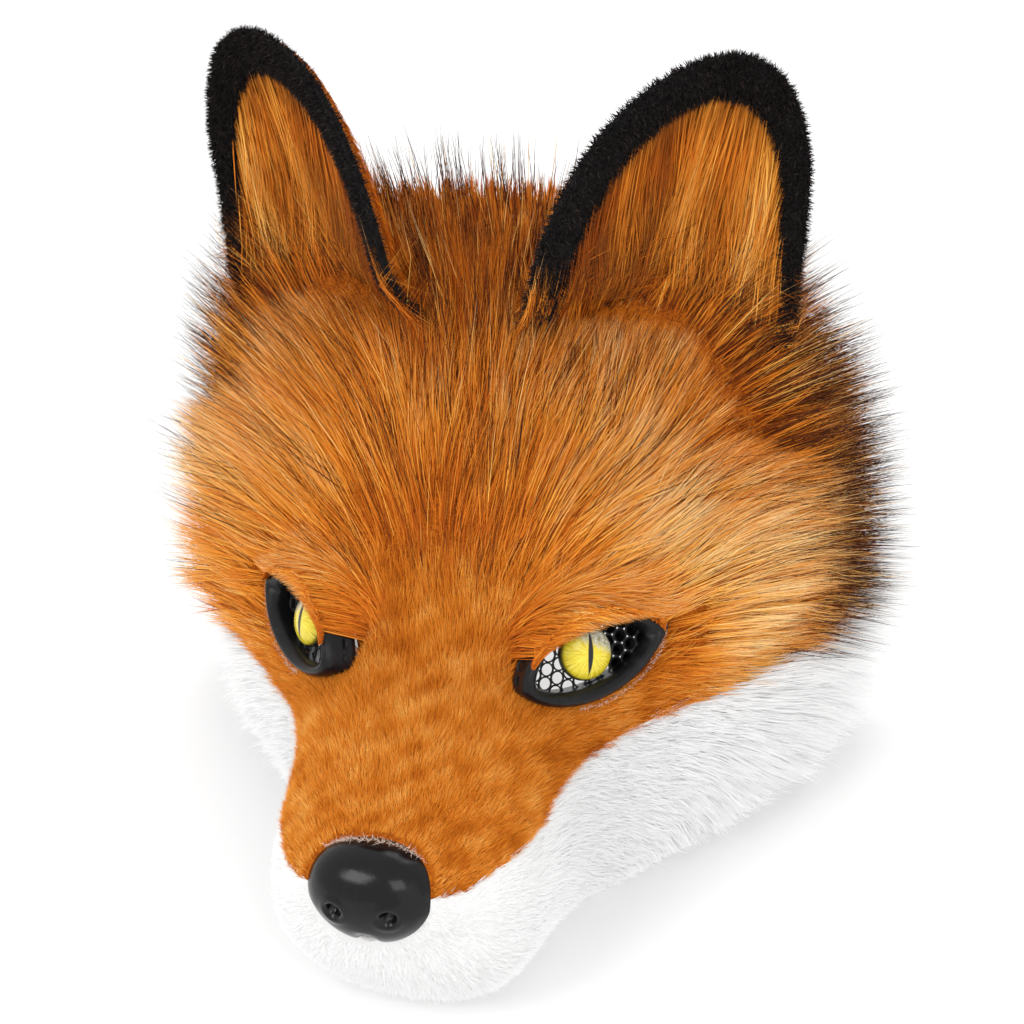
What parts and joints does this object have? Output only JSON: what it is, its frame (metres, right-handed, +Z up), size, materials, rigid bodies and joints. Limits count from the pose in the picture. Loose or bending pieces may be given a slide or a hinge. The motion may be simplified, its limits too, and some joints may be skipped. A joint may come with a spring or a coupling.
{
  "type": "plush fox mask",
  "caption": "Full-face plush fox mask: orange and white faux fur over a thin open-backed shell, with cupped ears, domed eyes in see-through mesh and a moulded nose.",
  "frame": {"origin": "on the floor that the lower rim stands on, under the middle of the mask's bounding box", "axes": "+Z up the height of the face, nose towards -Y, open back towards +Y, X across the face with the wearer's left at +X"},
  "size_m": [0.2726, 0.2298, 0.2783],
  "materials": {
    "shell_foam": "thin firm foam, matt",
    "orange_fur": "long faux fur with dark tips",
    "orange_plush": "short plush, combed back",
    "white_plush": "short white plush",
    "white_fur": "long white faux fur",
    "ear_backing": "orange plush on a stiff backing",
    "black_plush": "short black plush",
    "ear_lining_fur": "long gold faux fur",
    "lid_moulding": "satin black",
    "eye_mesh": "matt black, pierced",
    "eye_dome": "polished, painted from behind",
    "nose_moulding": "satin black"
  },
  "bodies": {
    "root": {"face_shell": "shell_foam", "forehead_fur": "orange_fur", "muzzle_plush": "orange_plush", "lip_plush": "white_plush", "cheek_fur_right": "white_fur", "cheek_fur_left": "white_fur", "ear_shell_right": "ear_backing", "ear_shell_left": "ear_backing", "ear_trim_right": "black_plush", "ear_trim_left": "black_plush", "ear_fur_right": "ear_lining_fur", "ear_fur_left": "ear_lining_fur", "eyelid_right": "lid_moulding", "eyelid_left": "lid_moulding", "eye_mesh_right": "eye_mesh", "eye_mesh_left": "eye_mesh", "glass_eye_right": "eye_dome", "glass_eye_left": "eye_dome", "nose": "nose_moulding"}
  },
  "joints": []
}
